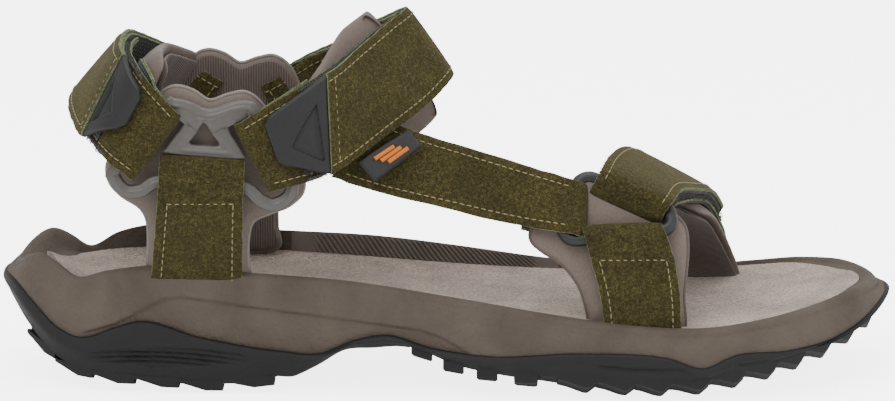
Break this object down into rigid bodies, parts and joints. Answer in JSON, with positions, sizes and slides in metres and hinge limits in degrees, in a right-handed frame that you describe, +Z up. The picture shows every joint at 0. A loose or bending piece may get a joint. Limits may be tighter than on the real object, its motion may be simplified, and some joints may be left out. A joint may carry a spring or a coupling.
{
  "type": "strappy sport sandal",
  "caption": "Right-foot strap sandal with lugged rubber sole, contoured foam midsole, padded suede straps, ankle brackets, forefoot ring and hook-and-loop ends that open.",
  "frame": {"origin": "on the ground, under the centre of the sandal's bounding box", "axes": "+X from heel to toe, +Y towards the inner (big toe) side, +Z up"},
  "size_m": [0.2942, 0.1041, 0.1244],
  "materials": {
    "rubber_sole": "matt moulded rubber with a fine grain",
    "foam_sole": "taupe compression-moulded foam, fine pebbled skin",
    "footbed_suede": "napped microsuede, pale taupe",
    "shank_plastic": "plain nylon plate",
    "olive_suede": "napped olive suede, pale green cut edges, cream stitching",
    "bracket_plastic": "warm grey soft moulded plastic, satin",
    "ring_plastic": "dark blue-grey moulded plastic, satin",
    "tab_rubber": "dark grey moulded rubber, satin",
    "pad_cloth": "smooth taupe synthetic over foam",
    "lining_cloth": "finely ribbed stretch lining, brown taupe",
    "black_tape": "black hook and loop tape",
    "label_fabric": "dark grey woven tag with a plain mark"
  },
  "bodies": {
    "sandal": {"diagonal_strap": "olive_suede", "footbed": "footbed_suede", "forefoot_ring": "ring_plastic", "heel_collar": "pad_cloth", "heel_collar_lining": "lining_cloth", "heel_loop_tape": "black_tape", "heel_ring_strap": "olive_suede", "heel_strap": "olive_suede", "instep_loop_tape": "black_tape", "instep_pad": "pad_cloth", "instep_pad_lining": "lining_cloth", "instep_ring_strap": "olive_suede", "instep_strap": "olive_suede", "label": "label_fabric", "lateral_ankle_bracket": "bracket_plastic", "lateral_ankle_lining": "lining_cloth", "lateral_ankle_pad": "pad_cloth", "lateral_ankle_strap": "olive_suede", "lateral_toe_pad": "pad_cloth", "lateral_toe_strap": "olive_suede", "medial_ankle_bracket": "bracket_plastic", "medial_ankle_lining": "lining_cloth", "medial_ankle_pad": "pad_cloth", "medial_ankle_strap": "olive_suede", "medial_toe_lining": "lining_cloth", "medial_toe_pad": "pad_cloth", "midsole": "foam_sole", "outsole": "rubber_sole", "shank": "shank_plastic", "toe_fold": "olive_suede", "toe_loop_tape": "black_tape", "toe_strap": "olive_suede"},
    "heel_flap": {"heel_strap_end": "olive_suede", "heel_pull_tab": "tab_rubber", "heel_hook_tape": "black_tape"},
    "instep_flap": {"instep_strap_end": "olive_suede", "instep_pull_tab": "tab_rubber", "instep_hook_tape": "black_tape"},
    "toe_flap_group": {"toe_flap": "olive_suede", "toe_pull_tab": "tab_rubber", "toe_hook_tape": "black_tape"}
  },
  "joints": [
    {"name": "heel_flap_hinge", "type": "hinge", "parent": "sandal", "child": "heel_flap", "pos_m": [-0.11714, -0.0093, 0.10341], "axis": [-0.6217, -0.0084, -0.7832], "range_deg": [0, 110]},
    {"name": "instep_flap_hinge", "type": "hinge", "parent": "sandal", "child": "instep_flap", "pos_m": [-0.01169, -0.01288, 0.10706], "axis": [-0.5235, 0.0603, 0.8499], "range_deg": [0, 110]},
    {"name": "toe_flap_hinge", "type": "hinge", "parent": "sandal", "child": "toe_flap_group", "pos_m": [0.06136, -0.03662, 0.06878], "axis": [0.9142, -0.1711, -0.3673], "range_deg": [0, 100]}
  ]
}
